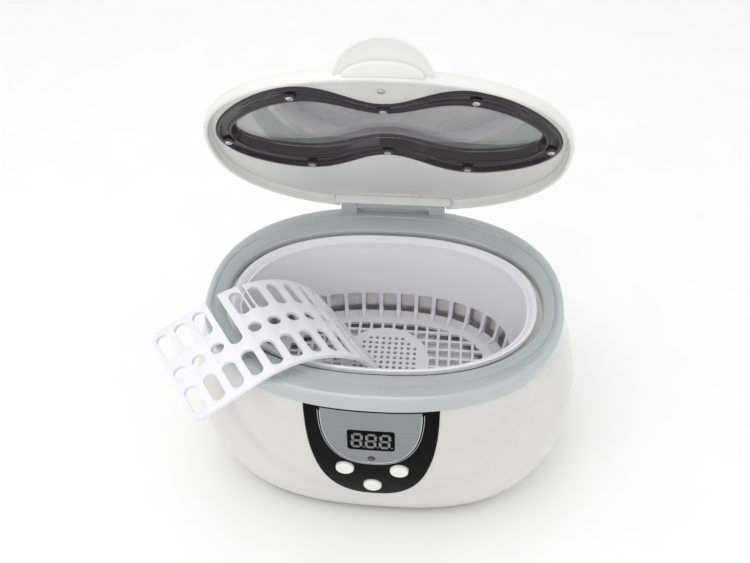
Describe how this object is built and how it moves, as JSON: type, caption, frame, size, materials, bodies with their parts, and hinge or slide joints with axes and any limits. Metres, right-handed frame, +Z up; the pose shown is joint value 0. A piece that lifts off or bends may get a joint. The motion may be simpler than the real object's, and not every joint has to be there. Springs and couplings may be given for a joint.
{
  "type": "ultrasonic cleaner",
  "caption": "Benchtop ultrasonic cleaner: oval white housing, grey rim ring, steel tank, lift-out basket, hinged lid with smoked window, front control panel and loose sieve insert.",
  "frame": {"origin": "centre of the base plate's underside; the rubber feet reach 1.5 mm below it", "axes": "+Z up, +X to the right of a user who faces the control panel, -Y towards that user"},
  "size_m": [0.2207, 0.1639, 0.2526],
  "materials": {
    "basket_white": "satin",
    "bright_metal": "polished",
    "button_white": "gloss",
    "circuit_board": "solder mask",
    "component_black": "matte",
    "copper_winding": "enamelled wire",
    "dark_plastic": "matte",
    "display_glass": "high gloss",
    "fuse_body": "matte",
    "grey_ring": "satin",
    "heat_sink": "extruded",
    "insert_white": "satin",
    "led_block": "matte",
    "led_lens": "clear",
    "lid_liner": "satin",
    "panel_black": "high gloss",
    "panel_inlay": "metallic satin",
    "piezo_ceramic": "matte",
    "rubber": "matte",
    "smoked_window": "smoked clear",
    "stainless": "brushed",
    "white_lid": "gloss",
    "white_shell": "gloss"
  },
  "bodies": {
    "base": {"base_plate": "dark_plastic", "base_screw_front_left": "bright_metal", "base_screw_front_right": "bright_metal", "base_screw_rear_left": "bright_metal", "base_screw_rear_right": "bright_metal", "capacitor": "component_black", "control_panel": "panel_black", "display_board": "circuit_board", "display_window": "display_glass", "drive_transformer": "copper_winding", "foot_front_left": "rubber", "foot_front_right": "rubber", "foot_rear_left": "rubber", "foot_rear_right": "rubber", "fuse": "fuse_body", "heat_sink": "heat_sink", "hinge_pin": "bright_metal", "housing": "white_shell", "inlet_pin_left": "bright_metal", "inlet_pin_right": "bright_metal", "led_display": "led_block", "mains_inlet": "dark_plastic", "panel_inlay": "panel_inlay", "piezo_transducer": "piezo_ceramic", "power_board": "circuit_board", "rim_ring": "grey_ring", "status_led": "led_lens", "tact_switch_centre": "component_black", "tact_switch_left": "component_black", "tact_switch_right": "component_black", "tank": "stainless", "tank_gasket": "rubber"},
    "lid": {"lid_liner": "lid_liner", "lid_shell": "white_lid", "lid_window": "smoked_window", "liner_screw": "bright_metal", "window_screw_1": "bright_metal", "window_screw_2": "bright_metal", "window_screw_3": "bright_metal", "window_screw_4": "bright_metal", "window_screw_5": "bright_metal", "window_screw_6": "bright_metal", "window_screw_7": "bright_metal", "window_screw_8": "bright_metal"},
    "basket": {"basket": "basket_white"},
    "insert": {"sieve_insert": "insert_white"},
    "button_left": {"button_left": "button_white"},
    "button_right": {"button_right": "button_white"},
    "button_centre": {"button_centre": "button_white"}
  },
  "joints": [
    {"name": "lid_hinge", "type": "hinge", "parent": "base", "child": "lid", "pos_m": [0, 0.07, 0.1102], "axis": [-1, 0, 0], "range_deg": [-61, 0]},
    {"name": "basket_lift", "type": "slide", "parent": "base", "child": "basket", "axis": [0, 0, 1], "range_m": [0, 0.032]},
    {"name": "insert_lift", "type": "slide", "parent": "basket", "child": "insert", "axis": [-0.6642, -0.2421, 0.7072], "range_m": [0, 0.36]},
    {"name": "button_left_press", "type": "slide", "parent": "base", "child": "button_left", "axis": [0, 1, 0], "range_m": [0, 0.0008], "stiffness_N_per_m": 400, "springref_m": -0.0006},
    {"name": "button_right_press", "type": "slide", "parent": "base", "child": "button_right", "axis": [0, 1, 0], "range_m": [0, 0.0008], "stiffness_N_per_m": 400, "springref_m": -0.0006},
    {"name": "button_centre_press", "type": "slide", "parent": "base", "child": "button_centre", "axis": [0, 1, 0], "range_m": [0, 0.0008], "stiffness_N_per_m": 400, "springref_m": -0.0006}
  ],
  "couplings": [
    {"joint": "insert_lift", "follows": "lid_hinge", "m_per_rad": -0.33811}
  ]
}
